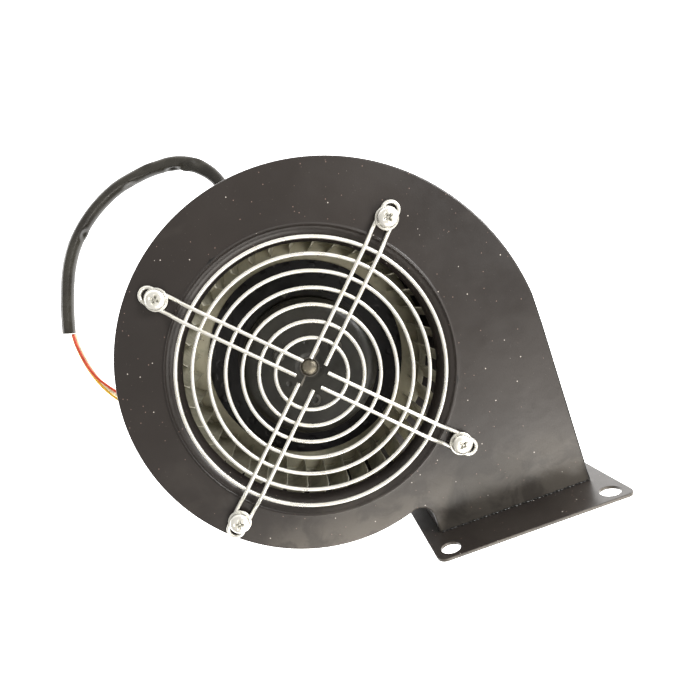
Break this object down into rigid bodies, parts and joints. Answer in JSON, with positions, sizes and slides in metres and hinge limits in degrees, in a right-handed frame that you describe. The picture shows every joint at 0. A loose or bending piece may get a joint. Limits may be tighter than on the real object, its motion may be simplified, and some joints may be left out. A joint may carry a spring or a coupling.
{
  "type": "combustion fan",
  "caption": "Small centrifugal combustion fan: round scroll casing, wire-guarded inlet, forward-curved impeller on an external-rotor motor, flanged outlet and sleeved lead.",
  "frame": {"origin": "on the fan axis, on the rear face of the motor cover, which the fan lies on", "axes": "+Z along the fan axis towards the inlet; the outlet discharges along -Y; +X along the outlet flange's short side, away from the tongue"},
  "size_m": [0.2464, 0.2275, 0.117],
  "materials": {
    "casing_paint": "semi-gloss black powder coat with a fine texture",
    "zinc_plate": "bright zinc plate",
    "impeller_sheet": "galvanised sheet, dulled",
    "disc_paint": "dipped black",
    "rotor_steel": "black painted deep-drawn steel",
    "lamination_steel": "varnished electrical steel",
    "bearing_steel": "ground steel",
    "cast_aluminium": "as cast",
    "winding_copper": "enamelled copper",
    "grommet_rubber": "matt black",
    "sleeve_plastic": "soft black sleeving, slight sheen",
    "wire_red": "red-orange insulation",
    "wire_yellow": "yellow insulation",
    "wire_white": "cream-white insulation"
  },
  "bodies": {
    "casing": {"front_plate": "casing_paint", "scroll_wrap": "casing_paint", "rear_plate": "casing_paint", "outlet_flange": "casing_paint", "finger_guard": "zinc_plate", "guard_washer_1": "zinc_plate", "guard_washer_2": "zinc_plate", "guard_washer_3": "zinc_plate", "guard_washer_4": "zinc_plate", "guard_screw_1": "zinc_plate", "guard_screw_2": "zinc_plate", "guard_screw_3": "zinc_plate", "guard_screw_4": "zinc_plate", "motor_flange": "cast_aluminium", "motor_cover": "casing_paint", "motor_screw_1": "zinc_plate", "motor_screw_2": "zinc_plate", "motor_screw_3": "zinc_plate", "motor_screw_4": "zinc_plate", "stator_core": "lamination_steel", "winding_front": "winding_copper", "winding_rear": "winding_copper", "bearing_front_outer_race": "bearing_steel", "bearing_rear_outer_race": "bearing_steel", "wave_washer": "bearing_steel", "lead_grommet": "grommet_rubber", "lead_sleeve": "sleeve_plastic", "wire_red": "wire_red", "wire_yellow": "wire_yellow", "wire_white": "wire_white"},
    "rotor": {"shaft": "bearing_steel", "rotor_hub": "cast_aluminium", "rotor_can": "rotor_steel", "rotor_laminations": "lamination_steel", "hub_rivet_1": "rotor_steel", "hub_rivet_2": "rotor_steel", "hub_rivet_3": "rotor_steel", "bearing_front_inner_race": "bearing_steel", "bearing_rear_inner_race": "bearing_steel", "circlip": "bearing_steel", "impeller_back_disc": "disc_paint", "impeller_rear_ring": "impeller_sheet", "impeller_blade_cage": "impeller_sheet", "impeller_front_ring": "impeller_sheet"}
  },
  "joints": [
    {"name": "impeller_spin", "type": "hinge", "parent": "casing", "child": "rotor", "pos_m": [0, 0, 0.045], "axis": [0, 0, 1], "continuous": true}
  ]
}
